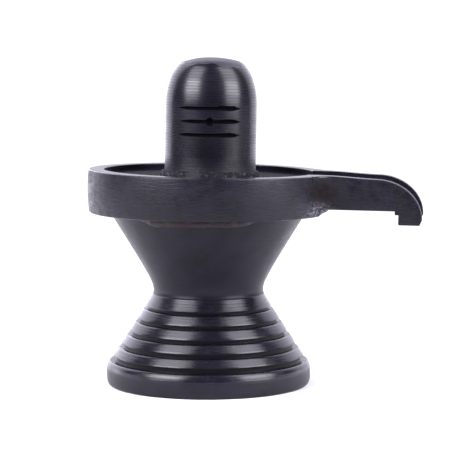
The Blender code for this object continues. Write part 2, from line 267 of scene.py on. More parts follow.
def pedestal_profile():
    """The hourglass, its banded foot and the rounded base, listed downwards."""
    edges = groove_edges()
    base_top = edges[-1][1]
    profile = [(0.0, PEDESTAL_HEIGHT)]
    cup_pieces = 70
    for i in range(cup_pieces + 1):
        height = PEDESTAL_HEIGHT + (WAIST_HEIGHT - PEDESTAL_HEIGHT) * i / cup_pieces
        profile.append((flare(height, PEDESTAL_HEIGHT, CUP_RADIUS, CUP_SOFTNESS), height))
    neck_pieces = 36
    for i in range(1, neck_pieces):
        height = WAIST_HEIGHT + (edges[0][0] + ARRIS - WAIST_HEIGHT) * i / neck_pieces
        nick = NICK_DEPTH * max(1 - abs(height - CREASE_HEIGHT) / NICK_DEPTH, 0.0)
        profile.append((flare(height, base_top, FOOT_RADIUS, FOOT_SOFTNESS) - nick, height))
    for number, (upper, lower) in enumerate(edges):
        lip = flare(upper, base_top, FOOT_RADIUS, FOOT_SOFTNESS)
        floor = lip - GROOVE_DEPTH
        profile += arc((lip - ARRIS, upper + ARRIS), (ARRIS, ARRIS), 0, -90, 3)
        profile += arc((floor + ARRIS, upper - ARRIS), (ARRIS, ARRIS), 90, 180, 3)
        profile += arc((floor + ARRIS, lower + ARRIS), (ARRIS, ARRIS), 180, 270, 3)
        if number < GROOVE_COUNT - 1:
            profile += band(lower, edges[number + 1][0] + ARRIS, base_top)
    upper_centre = (FOOT_RADIUS, base_top - BASE_UPPER_ROUND)
    profile += arc(upper_centre, (BASE_RADIUS - FOOT_RADIUS, BASE_UPPER_ROUND), 90, 0, 14)
    lower_centre = (SEAT_RADIUS, BASE_LOWER_ROUND)
    profile += arc(lower_centre, (BASE_RADIUS - SEAT_RADIUS, BASE_LOWER_ROUND), 0, -90, 12)
    return profile + [(0.0, 0.0)]


def new_material(name):
    """A material with its shader node, its tree and the object's own coordinates."""
    material = bpy.data.materials.new(name)
    material.use_nodes = True
    tree = material.node_tree
    shader = tree.nodes["Principled BSDF"]
    place = add(tree, "ShaderNodeTexCoord").outputs["Object"]
    return material, tree, shader, place


def cloud(tree, place, size, detail=3.0, stretch=(1.0, 1.0, 1.0)):
    """Noise whose blots are about this size in metres, drawn out along some axes."""
    scale = tuple(1 / (size * s) for s in stretch)
    mapped = add(tree, "ShaderNodeMapping", {"Vector": place, "Scale": scale})
    inputs = {"Vector": mapped.outputs[0], "Scale": 1.0, "Detail": detail}
    return add(tree, "ShaderNodeTexNoise", inputs).outputs[0]


# Black soapstone, rubbed: nearly black with a violet cast, faint grey clouds 4 mm across and
# fine mineral specks of 0.2 mm, which give the eye a dense stone and not a paint.
STONE_DARK = linear("08060e")
STONE_LIGHT = linear("120f1c")
STONE_SPECK = linear("24212e")


def stone_colour(tree, place):
    """The stone's own colour with its clouds and specks."""
    stops = [(0.35, STONE_DARK), (0.68, STONE_LIGHT)]
    clouds = {"Fac": cloud(tree, place, 0.004, 5.0)}
    body = add(tree, "ShaderNodeValToRGB", clouds, stops).outputs[0]
    stops = [(0.66, grey(0.0)), (0.74, grey(0.7))]
    specks = {"Fac": cloud(tree, place, 0.0002, 1.0)}
    mask = add(tree, "ShaderNodeValToRGB", specks, stops).outputs[0]
    inputs = {0: mask, 6: body, 7: STONE_SPECK}
    return add(tree, "ShaderNodeMix", inputs, data_type="RGBA").outputs[2]


def rings(tree, place, pitch):
    """Rings round the vertical axis, uneven from one to the next, as a lathe leaves them.

    They are as far apart as they show at arm's length, which is coarser than the tool's feed.
    """
    drift = cloud(tree, place, pitch * 3, 2.0, (30.0, 30.0, 1.0))
    wave_scale = math.pi / 10 / pitch
    inputs = {"Vector": place, "Scale": wave_scale}
    regular = add(tree, "ShaderNodeTexWave", inputs, bands_direction="Z").outputs["Fac"]
    streaks = cloud(tree, place, pitch / 2.2, 2.0, (16.0, 16.0, 1.0))
    inputs = {0: regular, 1: 0.5, 2: streaks}
    mixed = add(tree, "ShaderNodeMath", inputs, operation="MULTIPLY_ADD").outputs[0]
    return add(tree, "ShaderNodeMath", {0: mixed, 1: drift}, operation="ADD").outputs[0]


def pedestal_finish():
    """Waxed and glossy below the crease under the waist, satin above it."""
    material, tree, shader, place = new_material("turned_soapstone_waxed_foot")
    height = add(tree, "ShaderNodeSeparateXYZ", {0: place}).outputs["Z"]
    blur = 0.0001
    span = {"Value": height, "From Min": CREASE_HEIGHT - blur, "From Max": CREASE_HEIGHT + blur}
    stem = add(tree, "ShaderNodeMapRange", span).outputs[0]
    span = {"Value": height, "From Min": BASE_WALL_TOP + 4 * blur, "From Max": BASE_WALL_TOP - 4 * blur}
    wall = add(tree, "ShaderNodeMapRange", span).outputs[0]
    unwaxed = add(tree, "ShaderNodeMath", {0: stem, 1: wall}, operation="MAXIMUM").outputs[0]
    wear = cloud(tree, place, 0.003, 3.0)
    scratches = cloud(tree, place, 0.00025, 3.0, (14.0, 14.0, 1.0))
    scuffed = add(tree, "ShaderNodeMath", {0: wear, 1: scratches}, operation="ADD").outputs[0]
    span = {"Value": scuffed, "From Min": 0.7, "From Max": 1.3, "To Min": 0.19, "To Max": 0.31}
    gloss = add(tree, "ShaderNodeMapRange", span).outputs[0]
    satin = add(tree, "ShaderNodeMapRange", {"Value": wear, "To Min": 0.3, "To Max": 0.46}).outputs[0]
    above = add(tree, "ShaderNodeMath", {0: stem, 1: -0.15, 2: 1.42}, operation="MULTIPLY_ADD").outputs[0]
    density = add(tree, "ShaderNodeMath", {0: wall, 1: -0.1, 2: above}, operation="MULTIPLY_ADD")
    marks = {"Height": rings(tree, place, TOOL_PITCH), "Strength": 0.5, "Distance": 0.00003}
    feed(shader, {
        "Base Color": stone_colour(tree, place),
        "Roughness": add(tree, "ShaderNodeMix", {0: unwaxed, 2: gloss, 3: satin}).outputs[0],
        "IOR": density.outputs[0],
        "Normal": add(tree, "ShaderNodeBump", marks).outputs[0],
    })
    return material


def cut_finish(name, density, roughness):
    """The unpolished floor of a cut, black and nearly unreflecting. In the foot's grooves it is painted
    shade.
    """
    material, _, shader, _ = new_material(name)
    feed(shader, {"Base Color": linear("08070a"), "Roughness": roughness, "IOR": density})
    return material


def in_groove(face):
    """Whether a face lies below the surface that the bands share and doesn't look up."""
    place = face.center
    lip = flare(place.z, groove_edges()[-1][1], FOOT_RADIUS, FOOT_SOFTNESS)
    banded = groove_edges()[-1][1] - 0.00001 < place.z < groove_edges()[0][0] + 0.00001
    return banded and face.normal.z < 0.5 and math.hypot(place.x, place.y) < lip - ARRIS


pedestal = turn_profile("turned_pedestal", pedestal_profile(), TURNED_STEPS, pedestal_finish())
# The grooves' faces get the black cut finish: painted shade for their dark depths.
paint(pedestal, cut_finish("groove_painted_shade", 1.2, 0.4), in_groove)
shade(pedestal, 50)
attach(pedestal, "root")
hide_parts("pedestal")

# The adhesive
# A thin bead of red-brown resin squeezed out between the basin and the pedestal's top edge.
# It is uneven, thicker at the front and back, blotched brown and grey with a painted bluish glint, and
# has a dull shine.
GAP = 0.0003
GLUE_HEIGHT = 0.00125
GLUE_WIDTH = 0.0006
GLUE_THINNING = 0.0007
THIN_FROM = 0.38
THIN_SPAN = 0.3
GLUE_WANDER = 0.0007
GLUE_WANDER_SIZE = 0.004
GLUE_GRAIN = 0.0003
GLUE_GRAIN_SIZE = 0.0009
GLUE_STEPS = 360
# Each blotch: its azimuth in degrees, its colour and its reach. The bluish one at -60.4 degrees is a
# painted glint.
GLUE_BLOTS_AND_GLINT = [(-107.4, "201c1b", 0.0022), (-68.3, "362f26", 0.0012), (-60.4, "22222b", 0.0013),
              (-46.9, "1f1818", 0.0013)]


def blot(tree, place, centre, outer, inner, ragged, size):
    """A mask that is one inside a distance from a place and fades out with a ragged edge."""
    near = add(tree, "ShaderNodeVectorMath", {0: place, 1: centre}, operation="DISTANCE").outputs["Value"]
    inputs = {0: cloud(tree, place, size, 3.0), 1: ragged, 2: near}
    distance = add(tree, "ShaderNodeMath", inputs, operation="MULTIPLY_ADD").outputs[0]
    span = {"Value": distance, "From Min": outer, "From Max": inner}
    return add(tree, "ShaderNodeMapRange", span).outputs[0]


def adhesive_finish():
    """Old resin: dark red-brown, cloudy, half glossy, with grey, straw and brown blotches and a painted
    bluish glint.
    """
    material, tree, shader, place = new_material("hardened_resin_red_brown")
    clouds = cloud(tree, place, 0.0012, 5.0)
    stops = [(0.35, linear("100911")), (0.55, linear("220f18")), (0.72, linear("2c151f"))]
    colour = add(tree, "ShaderNodeValToRGB", {"Fac": clouds}, stops).outputs[0]
    for azimuth, code, reach in GLUE_BLOTS_AND_GLINT:
        turn = math.radians(azimuth)
        spot = (CUP_RADIUS * math.cos(turn), CUP_RADIUS * math.sin(turn), PEDESTAL_HEIGHT)
        mask = blot(tree, place, spot, reach * 1.4, reach, reach * 0.8, reach / 4)
        inputs = {0: mask, 6: colour, 7: linear(code)}
        colour = add(tree, "ShaderNodeMix", inputs, data_type="RGBA").outputs[2]
    span = {"Value": clouds, "From Min": 0.35, "From Max": 0.65, "To Min": 0.25, "To Max": 0.7}
    rough = add(tree, "ShaderNodeMapRange", span).outputs[0]
    feed(shader, {"Base Color": colour, "Roughness": rough, "IOR": 1.36})
    return material


def glue_profile():
    """The bead's section, a ring against the cup's slanted wall."""
    top = PEDESTAL_HEIGHT + GAP
    foot = PEDESTAL_HEIGHT - GLUE_HEIGHT
    inner = flare(foot, PEDESTAL_HEIGHT, CUP_RADIUS, CUP_SOFTNESS) - 0.0001
    profile = [(CUP_RADIUS + GLUE_WIDTH, top)]
    profile += arc((CUP_RADIUS, PEDESTAL_HEIGHT), (GLUE_WIDTH, GLUE_HEIGHT), 0, -90, 8)
    return profile + [(inner, foot), (CUP_RADIUS - 0.0002, top)]


def smooth(value):
    """Zero below 0, one above 1, and a soft step between."""
    value = np.clip(value, 0.0, 1.0)
    return value * value * (3 - 2 * value)


def thin_glue(mesh):
    """Draw the bead in towards the joint, except where it was pressed out at the front and back."""
    for vertex in mesh.vertices:
        x, y, z = vertex.co
        radius = math.hypot(x, y)
        aside = float(smooth((abs(x) / radius - THIN_FROM) / THIN_SPAN))
        thin = GLUE_THINNING * aside
        vertex.co.x *= (radius - thin) / radius
        vertex.co.y *= (radius - thin) / radius
        vertex.co.z += (PEDESTAL_HEIGHT - z) * 0.9 * aside


adhesive = turn_profile("adhesive_bead", glue_profile(), GLUE_STEPS, adhesive_finish(), ring=True,
                        wander=GLUE_WANDER, wander_size=GLUE_WANDER_SIZE,
                        grain=GLUE_GRAIN, grain_size=GLUE_GRAIN_SIZE, seed=4.0)
thin_glue(adhesive.data)
shade(adhesive, 60)
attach(adhesive, "root")
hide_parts("joint_adhesive")

# The yoni basin
# The second stone: a turned disc with a shallow dish, cut on into a spout with a channel along
# it and a hooked lip. It is rubbed down to a satin finish and leans a degree to the spout side.
# The disc's lower edge is broken and bruised under the spout. The adhesive holds it.
BASIN_RADIUS = 0.0277
BASIN_THICKNESS = 0.0095
BASIN_EDGE = 0.0004
WALL_TOP_DRAW = 0.00012
WALL_FOOT_DRAW = 0.00036
RIM_WIDTH = 0.00365
DISH_DEPTH = 0.0015
DISH_ROUND = 0.0005
RIM_EASE = 0.00018
BASIN_LEAN = math.radians(1.06)
BASIN_WEDGE = math.radians(0.66)
BASIN_SHIFT = 0.00016
SPOUT_REACH = 0.0486
SPOUT_WIDTH = 0.0196
SPOUT_WALL = 0.0029
SPOUT_ROOT_ROUND = 0.0056
SPOUT_DEPTH = 0.0075
SPOUT_SLOPE = math.radians(2.2)
HOOK_REACH = 0.0104
HOOK_FALL = 0.0088
HOOK_LIP = 0.00525
HOOK_STEP = 0.0008
STEP_EASE = 0.0002
LIP_ROUND = 0.0012
LIP_DRAW = 0.0004
SPOUT_EASE = 0.00025
LIP_EASE = 0.0003
CHANNEL_DEPTH = 0.0016
BREAK_AZIMUTH = math.radians(-4)
BREAK_DEPTH = 0.0019
BREAK_HEIGHT = 0.0017
BREAK_WIDTH = 0.030
BREAK_BLOCK = 0.012
BREAK_BOWL = 0.0010
BREAK_ROUGHNESS = 0.0003
SPOUT_BACK = 0.018
CHANNEL_EASE = 0.0005
DISH_RADIUS = BASIN_RADIUS - RIM_WIDTH
DISH_FLOOR = BASIN_THICKNESS - DISH_DEPTH
BASIN_SEAT = PEDESTAL_HEIGHT + GAP + CUP_RADIUS * math.tan(BASIN_LEAN - BASIN_WEDGE)
SEATED = Matrix.Translation((BASIN_SHIFT, 0.0, BASIN_SEAT)) @ Matrix.Rotation(BASIN_LEAN, 4, "Y")


def disc_profile():
    """The disc's slightly bellied wall with its edges eased, listed downwards."""
    top_radius = BASIN_RADIUS - WALL_TOP_DRAW
    foot_radius = BASIN_RADIUS - WALL_FOOT_DRAW
    ease = (BASIN_EDGE, BASIN_EDGE)
    profile = [(0.0, BASIN_THICKNESS)]
    profile += arc((top_radius - BASIN_EDGE, BASIN_THICKNESS - BASIN_EDGE), ease, 90, 0, 6)
    wall_top, wall_foot = profile[-1][1], BASIN_EDGE
    pieces = 12
    for i in range(1, pieces):
        share = i / pieces
        chord = top_radius + (foot_radius - top_radius) * share
        belly = (BASIN_RADIUS - (top_radius + foot_radius) / 2) * 4 * share * (1 - share)
        profile.append((chord + belly, wall_top + (wall_foot - wall_top) * share))
    profile += arc((foot_radius - BASIN_EDGE, BASIN_EDGE), ease, 0, -90, 6)
    return profile + [(0.0, 0.0)]


def spout_top(inset):
    """The line along the spout's top and over its hook, or one a set depth inside it."""
    bend = SPOUT_REACH - HOOK_REACH
    fall = (bend - DISH_RADIUS) * math.tan(SPOUT_SLOPE)
    level = BASIN_RADIUS - BASIN_EDGE
    points = []
    pieces = 14
    for i in range(pieces):
        share = i / pieces
        drop = fall * share * share * (3 - 2 * share) * 0.5 + fall * share * 0.5
        points.append((level + (bend - level) * share, BASIN_THICKNESS - drop - inset))
    centre = (bend, BASIN_THICKNESS - fall - HOOK_FALL)
    return points + arc(centre, (HOOK_REACH - inset, HOOK_FALL - inset), 90, 0, 30)


def spout_side():
    """The spout seen from the side: its top, the hook's lip, the notch and the underside."""
    top = spout_top(0.0)
    underside = BASIN_THICKNESS - SPOUT_DEPTH
    lip_foot = top[-1][1] - LIP_ROUND
    corner = SPOUT_REACH - LIP_DRAW
    lip = arc((corner - LIP_EASE, lip_foot + LIP_EASE), (LIP_EASE, LIP_EASE), 0, -90, 4)
    inner = SPOUT_REACH - HOOK_LIP
    inside = [(inner, lip_foot), (inner, underside)]
    return [(SPOUT_BACK, BASIN_THICKNESS)] + top + lip + inside + [(SPOUT_BACK, underside)]


def spout_plan():
    """The spout seen from above, with its root swept into the disc on both sides."""
    half = SPOUT_WIDTH / 2
    centre_y = half + SPOUT_ROOT_ROUND
    centre_x = math.sqrt((BASIN_RADIUS + SPOUT_ROOT_ROUND) ** 2 - centre_y ** 2)
    start = math.degrees(math.atan2(-centre_y, -centre_x)) + 360
    sweep = arc((centre_x, centre_y), (SPOUT_ROOT_ROUND, SPOUT_ROOT_ROUND), start, 270, 16)
    side = [(SPOUT_BACK, sweep[0][1])] + sweep + [(SPOUT_REACH + 0.001, half)]
    return side + [(x, -y) for x, y in reversed(side)]


def solid(name, work):
    """A closed object from finished bmesh work."""
    mesh = bpy.data.meshes.new(name)
    work.to_mesh(mesh)
    work.free()
    face_outwards(mesh)
    return link(name, mesh)


def prism(name, outline, low, high, upright=False):
    """A closed slab: an outline in X and Y from one height to another, or in X and Z across Y."""
    work = bmesh.new()
    ends = []
    for level in (low, high):
        points = [(x, level, z) if upright else (x, z, level) for x, z in outline]
        ends.append([work.verts.new(p) for p in points])
    lower, upper = ends
    count = len(outline)
    work.faces.new(lower)
    work.faces.new(upper)
    for i in range(count):
        work.faces.new((lower[i], lower[(i + 1) % count], upper[(i + 1) % count], upper[i]))
    return solid(name, work)


def channel_cutter():
    """What the channel removes: its section with an eased rim and foot, swept along the spout."""
    half = SPOUT_WIDTH / 2 - SPOUT_WALL
    above = 0.003
    right = [(half, above)]
    ease = (CHANNEL_EASE, CHANNEL_EASE)
    right += arc((half - CHANNEL_EASE, CHANNEL_EASE - CHANNEL_DEPTH), ease, 0, -90, 5)
    section = right + [(-y, d) for y, d in reversed(right)]
    mouth = math.sqrt((DISH_RADIUS - DISH_ROUND) ** 2 - half ** 2)
    path = spout_top(0.0)
    level = BASIN_THICKNESS + (CHANNEL_DEPTH - DISH_DEPTH)
    path = [(mouth - 0.004, level + 0.0002), (mouth, level)] + path
    end = path[-1]
    path += [(end[0], end[1] - 0.0012), (end[0], end[1] - 0.004)]
    work = bmesh.new()
    loops = []
    for i, (x, z) in enumerate(path):
        before, after = path[max(i - 1, 0)], path[min(i + 1, len(path) - 1)]
        along = Vector((after[0] - before[0], after[1] - before[1])).normalized()
        loops.append([work.verts.new((x - along.y * d, y, z + along.x * d)) for y, d in section])
    count = len(section)
    work.faces.new(loops[0])
    work.faces.new(loops[-1])
    for first, second in zip(loops, loops[1:]):
        for i in range(count):
            work.faces.new((first[i], first[(i + 1) % count], second[(i + 1) % count], second[i]))
    return solid("channel_cutter", work)


def combine(obj, other, operation):
    """Cut, join or intersect the object with another one, which is then removed."""
    boolean = obj.modifiers.new("Boolean", "BOOLEAN")
    boolean.solver = "EXACT"
    boolean.operation = operation
    boolean.object = other
    graph = bpy.context.evaluated_depsgraph_get()
    mesh = bpy.data.meshes.new_from_object(obj.evaluated_get(graph))
    obj.modifiers.clear()
    obj.data = mesh
    bpy.data.objects.remove(other)


def hook_step():
    """The small step left under the hook, seen from the side, with its corners worn."""
    underside = BASIN_THICKNESS - SPOUT_DEPTH
    inner = SPOUT_REACH - HOOK_LIP
    inside = 0.0006
    centre = (inner - HOOK_STEP + STEP_EASE, underside - HOOK_STEP + STEP_EASE)
    points = arc(centre, (STEP_EASE, STEP_EASE), 180, 270, 4)
    points += [(inner + inside, underside - HOOK_STEP), (inner + inside, underside + inside)]
    return points + [(inner - HOOK_STEP, underside + inside)]


def at_root(edge):
    """Whether an upright edge of the spout is where it runs into the disc."""
    first, second = (vertex.co for vertex in edge.verts)
    return first.x < BASIN_RADIUS and (first.xy - second.xy).length < 0.0001


def ease_edges(obj, width, angle):
    """Round every outer edge that is sharper than an angle in degrees."""
    work = bmesh.new()
    work.from_mesh(obj.data)
    bmesh.ops.remove_doubles(work, verts=work.verts, dist=0.000001)
    sharp = [e for e in work.edges if e.is_manifold and e.calc_face_angle(0.0) > math.radians(angle)]
    sharp = [e for e in sharp if e.is_convex and not at_root(e)]
    bmesh.ops.bevel(work, geom=sharp, offset=width, segments=3, profile=0.5, affect="EDGES",
                    clamp_overlap=True)
    work.to_mesh(obj.data)
    work.free()


def broken_piece():
    """The piece that has come off the disc's lower edge, a block with a rough inner face."""
    work = bmesh.new()
    side = 80
    bmesh.ops.create_grid(work, x_segments=side, y_segments=side, size=0.5)
    slant = math.atan2(BREAK_DEPTH, BREAK_HEIGHT)
    start = BASIN_RADIUS - WALL_FOOT_DRAW - BREAK_DEPTH
    grain, seed = 900, 3.0
    for vertex in list(work.verts):
        along, across = vertex.co.x * BREAK_WIDTH, vertex.co.y * BREAK_BLOCK
        spot = Vector((along * grain + seed, across * grain, seed))
        rough = noise.fractal(spot, 0.8, 2.2, 5) * BREAK_ROUGHNESS
        bowl = BREAK_BOWL * (2 * along / BREAK_WIDTH) ** 2
        radius = start + across * math.sin(slant) + (rough + bowl) * math.cos(slant)
        rise = across * math.cos(slant) - (rough + bowl) * math.sin(slant)
        vertex.co = (radius, along, rise)
    moved = bmesh.ops.extrude_face_region(work, geom=list(work.faces))["geom"]
    out = Vector((math.cos(slant), 0.0, -math.sin(slant))) * BREAK_BLOCK
    for item in moved:
        if isinstance(item, bmesh.types.BMVert):
            item.co += out
    bmesh.ops.transform(work, matrix=Matrix.Rotation(BREAK_AZIMUTH, 4, "Z"), verts=work.verts)
    return solid("broken_piece", work)


def dish_finish():
    """The dish and the channel, left raw from the chisel: dull and weakly reflecting."""
    material, tree, shader, place = new_material("raw_soapstone_dull")
    grain = {"Height": cloud(tree, place, 0.0006, 4.0), "Strength": 0.5, "Distance": 0.00006}
    feed(shader, {
        "Base Color": stone_colour(tree, place),
        "Roughness": 0.8,
        "IOR": 1.2,
        "Normal": add(tree, "ShaderNodeBump", grain).outputs[0],
    })
    return material


def rim_finish():
    """The flat top of the rim and the spout, rubbed bright by handling and duller over the hook."""
    material, tree, shader, place = new_material("rim_rubbed_bright")
    span = {"Value": cloud(tree, place, 0.002, 3.0), "To Min": 0.16, "To Max": 0.36}
    polish = add(tree, "ShaderNodeMapRange", span).outputs[0]
    reach = add(tree, "ShaderNodeSeparateXYZ", {0: place}).outputs["X"]
    span = {"Value": reach, "From Min": 0.036, "From Max": 0.044}
    hook = add(tree, "ShaderNodeMapRange", span).outputs[0]
    feed(shader, {
        "Base Color": stone_colour(tree, place),
        "Roughness": add(tree, "ShaderNodeMix", {0: hook, 2: polish, 3: 0.5}).outputs[0],
        "IOR": add(tree, "ShaderNodeMix", {0: hook, 2: 1.5, 3: 1.34}).outputs[0],
    })
    return material


def basin_finish():
    """Rubbed down to a satin, with a bruised grey patch at the break and a brown stain above it."""
    material, tree, shader, place = new_material("rubbed_soapstone_satin")
    bruise_place = SEATED @ Vector((0.0258, -0.0115, 0.0008))
    bruise = blot(tree, place, bruise_place, 0.0068, 0.0048, 0.005, 0.0012)
    stain_place = SEATED @ Vector((0.0277, -0.0128, 0.0058))
    stain = blot(tree, place, stain_place, 0.0068, 0.0036, 0.003, 0.0012)
    crumbs = cloud(tree, place, 0.0007, 4.0, (2.0, 1.0, 0.7))
    stops = [(0.38, linear("2c2a33")), (0.55, linear("46444d")), (0.7, linear("737178"))]
    pale = add(tree, "ShaderNodeValToRGB", {"Fac": crumbs}, stops).outputs[0]
    inputs = {0: bruise, 6: stone_colour(tree, place), 7: pale}
    chalky = add(tree, "ShaderNodeMix", inputs, data_type="RGBA").outputs[2]
    inputs = {0: stain, 6: chalky, 7: linear("171313")}
    colour = add(tree, "ShaderNodeMix", inputs, data_type="RGBA").outputs[2]
    wear = cloud(tree, place, 0.0025, 4.0)
    scuffs = cloud(tree, place, 0.0005, 5.0, (4.0, 4.0, 0.6))
    worn = add(tree, "ShaderNodeMath", {0: wear, 1: scuffs}, operation="ADD").outputs[0]
    span = {"Value": worn, "From Min": 0.75, "From Max": 1.25, "To Min": 0.31, "To Max": 0.55}
    satin = add(tree, "ShaderNodeMapRange", span).outputs[0]
    dull = {"Value": stain, "To Min": 0.5, "To Max": 0.12}
    chalk = add(tree, "ShaderNodeMath", {0: bruise, 1: stain}, operation="MAXIMUM").outputs[0]
    marks = {"Height": scuffs, "Strength": 0.8, "Distance": 0.00009}
    feed(shader, {
        "Base Color": colour,
        "Specular IOR Level": add(tree, "ShaderNodeMapRange", dull).outputs[0],
        "Roughness": add(tree, "ShaderNodeMix", {0: chalk, 2: satin, 3: 0.9}).outputs[0],
        "IOR": 1.33,
        "Normal": add(tree, "ShaderNodeBump", marks).outputs[0],
    })
    return material


def in_hollow(face):
    """Whether a face of the basin lies in the dish or in the spout's channel."""
    place = face.center
    margin, overlap = 0.0001, 0.003
    inside = math.hypot(place.x, place.y) < DISH_RADIUS + margin
    if inside and place.z > DISH_FLOOR - 0.0005:
        return place.z < BASIN_THICKNESS - margin
    wall = SPOUT_WIDTH / 2 - SPOUT_WALL
    in_line = place.x > DISH_RADIUS - overlap and abs(place.y) < wall + 0.00001
    return in_line and BASIN_THICKNESS - SPOUT_DEPTH < place.z < spout_height(place.x) - margin


def spout_height(reach):
    """The height of the spout's top at a distance from the axis."""
    line = spout_top(0.0)
    for first, second in zip(line, line[1:]):
        if reach <= second[0]:
            share = (reach - first[0]) / (second[0] - first[0])
            return first[1] + (second[1] - first[1]) * max(share, 0.0)
    return line[-1][1]


def is_rubbed(face):
    """Whether a face looks up on the disc's rim or along the spout's top."""
    on_top = face.center.z > BASIN_THICKNESS - BASIN_EDGE / 2 or face.center.x > BASIN_RADIUS
    return face.material_index == 0 and on_top and face.normal.z > 0.25


def make_basin():
    """Turn the disc, join the spout to it, and cut the dish, the channel and the break."""
    finish = basin_finish()
    disc = turn_profile("yoni_basin_stone", disc_profile(), TURNED_STEPS, finish)
    for vertex in disc.data.vertices:
        share = 1 - vertex.co.z / BASIN_THICKNESS
        vertex.co.z += vertex.co.x * math.tan(BASIN_WEDGE) * share
    combine(disc, broken_piece(), "DIFFERENCE")
    below, beyond = -0.01, 0.03
    spout = prism("spout", spout_plan(), below, beyond)
    combine(spout, prism("side", spout_side(), -beyond, beyond, upright=True), "INTERSECT")
    ease_edges(spout, SPOUT_EASE, 50)
    half = SPOUT_WIDTH / 2 - 0.0001
    combine(spout, prism("step", hook_step(), -half, half, upright=True), "UNION")
    combine(disc, spout, "UNION")
    rim = DISH_RADIUS + RIM_EASE
    above = BASIN_THICKNESS + 0.002
    dish = [(0.0, above), (rim, above)]
    dish += arc((rim, BASIN_THICKNESS - RIM_EASE), (RIM_EASE, RIM_EASE), 90, 180, 5)
    dish += arc((DISH_RADIUS - DISH_ROUND, DISH_FLOOR + DISH_ROUND), (DISH_ROUND, DISH_ROUND), 0, -90, 6)
    dish += [(0.0, DISH_FLOOR)]
    combine(disc, turn_profile("dish", dish, TURNED_STEPS, finish), "DIFFERENCE")
    combine(disc, channel_cutter(), "DIFFERENCE")
    disc.data.materials.clear()
    disc.data.materials.append(finish)
    face_outwards(disc.data)
    paint(disc, dish_finish(), in_hollow)
    paint(disc, rim_finish(), is_rubbed)
    disc.data.transform(SEATED)
    shade(disc, 35)
    return disc


basin = make_basin()
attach(basin, "root")
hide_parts("yoni_basin")

# The bedding cement
# A bed of grey cement laid in the dish for the linga, and pressed round its foot into a low
# collar with a finger. It is lumpy and pitted, with a paler smear at the front left.
LINGA_RADIUS = 0.01037
LINGA_SHIFT = 0.0001
CEMENT_HEIGHT = 0.00145
CEMENT_FOOT = 0.0008
CEMENT_WANDER = 0.0005
CEMENT_WANDER_SIZE = 0.003
CEMENT_GRAIN = 0.00025
CEMENT_GRAIN_SIZE = 0.0005
CEMENT_STEPS = 480
STANDING = SEATED @ Matrix.Translation((LINGA_SHIFT, 0.0, DISH_FLOOR + GAP))


def cement_finish():
    """Dry cement: grey and chalky, with a paler smear and dark pits."""
    material, tree, shader, place = new_material("dry_grey_cement")
    stops = [(0.38, linear("0a090d")), (0.55, linear("19181d")), (0.72, linear("454349"))]
    clouds = {"Fac": cloud(tree, place, 0.0008, 5.0)}
    tone = add(tree, "ShaderNodeValToRGB", clouds, stops).outputs[0]
    smear_place = STANDING @ Vector((-0.0026, -0.0112, 0.0005))
    smear = blot(tree, place, smear_place, 0.0032, 0.00236, 0.0022, 0.000525)
    inputs = {0: smear, 6: tone, 7: linear("2a2729")}
    grit = {"Height": cloud(tree, place, 0.0004, 4.0), "Strength": 0.9, "Distance": 0.00012}
    feed(shader, {
        "Base Color": add(tree, "ShaderNodeMix", inputs, data_type="RGBA").outputs[2],
        "Roughness": 0.75,
        "IOR": 1.24,
        "Normal": add(tree, "ShaderNodeBump", grit).outputs[0],
    })
    return material


def cement_profile():
    """The collar's section, closed against the linga and the dish."""
    sunk = 0.0001
    inner = LINGA_RADIUS - sunk
    outer = LINGA_RADIUS + GAP
    low = -GAP - sunk
    profile = [(inner, CEMENT_HEIGHT * 0.95)]
    profile += arc((outer - sunk, 0.0), (CEMENT_FOOT, CEMENT_HEIGHT * 0.9), 70, 0, 12)
    return profile + [(outer + CEMENT_FOOT, low), (inner, low)]


cement = turn_profile("cement_collar", cement_profile(), CEMENT_STEPS, cement_finish(), ring=True,
                      wander=CEMENT_WANDER, wander_size=CEMENT_WANDER_SIZE,
                      grain=CEMENT_GRAIN, grain_size=CEMENT_GRAIN_SIZE, seed=7.0)
cement.data.transform(STANDING)
shade(cement, 60)
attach(cement, "root")
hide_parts("bedding_cement")

# The linga
# The third stone: a shaft turned round and polished on the lathe, which leaves fine rings. Its
# crown and the dome's left shoulder are ground by hand. Three tapered lines and a round dot are
# cut in its front. It stands in the cement, square to the dish, and leans with the basin.
LINGA_HEIGHT = 0.0269
SHOULDER_WIDTH = 0.0053
CROWN_RADIUS = 0.0252
MARK_AZIMUTH = math.radians(-84.5)
CAMERA_TURN = math.radians(6.3)
LINE_PITCH = 0.00298
LINE_MIDDLE = 0.0126
RING_PITCH = 0.00064
ROW_STEP = 0.00007
WIDE_ROWS = 4
CUT_PAINT = 0.00001
LINE_ENDS = [(-0.00770, 0.00725), (-0.00735, 0.00735), (-0.00770, 0.00710)]
LINE_LIFT = [0.0, 0.00012, 0.00004]
LINE_MARGIN = 0.0013
LINE_HALF = 0.00036
LINE_DEPTH = 0.00045
SWELL_PLACE = 0.82
SWELL_LENGTH = 0.12
SWELL = 0.35
LEFT_TAPER = 0.2
RIGHT_TAPER = 0.14
DOT_HALF_WIDTH = 0.0009
DOT_HALF_HEIGHT = 0.00094
DOT_DEPTH = 0.0009
DOT_SQUARENESS = 1.6
MARK_REACH = 1.2
LINGA_STEPS = 400
LINGA_WANDER = 0.00012
LINGA_WANDER_SIZE = 0.012
GROUND_HEIGHT = 0.0252
GROUND_STEP = 0.00007
FACET_START = -0.00306
FACET_HEIGHT = 0.02672
FACET_SLOPE = 0.25


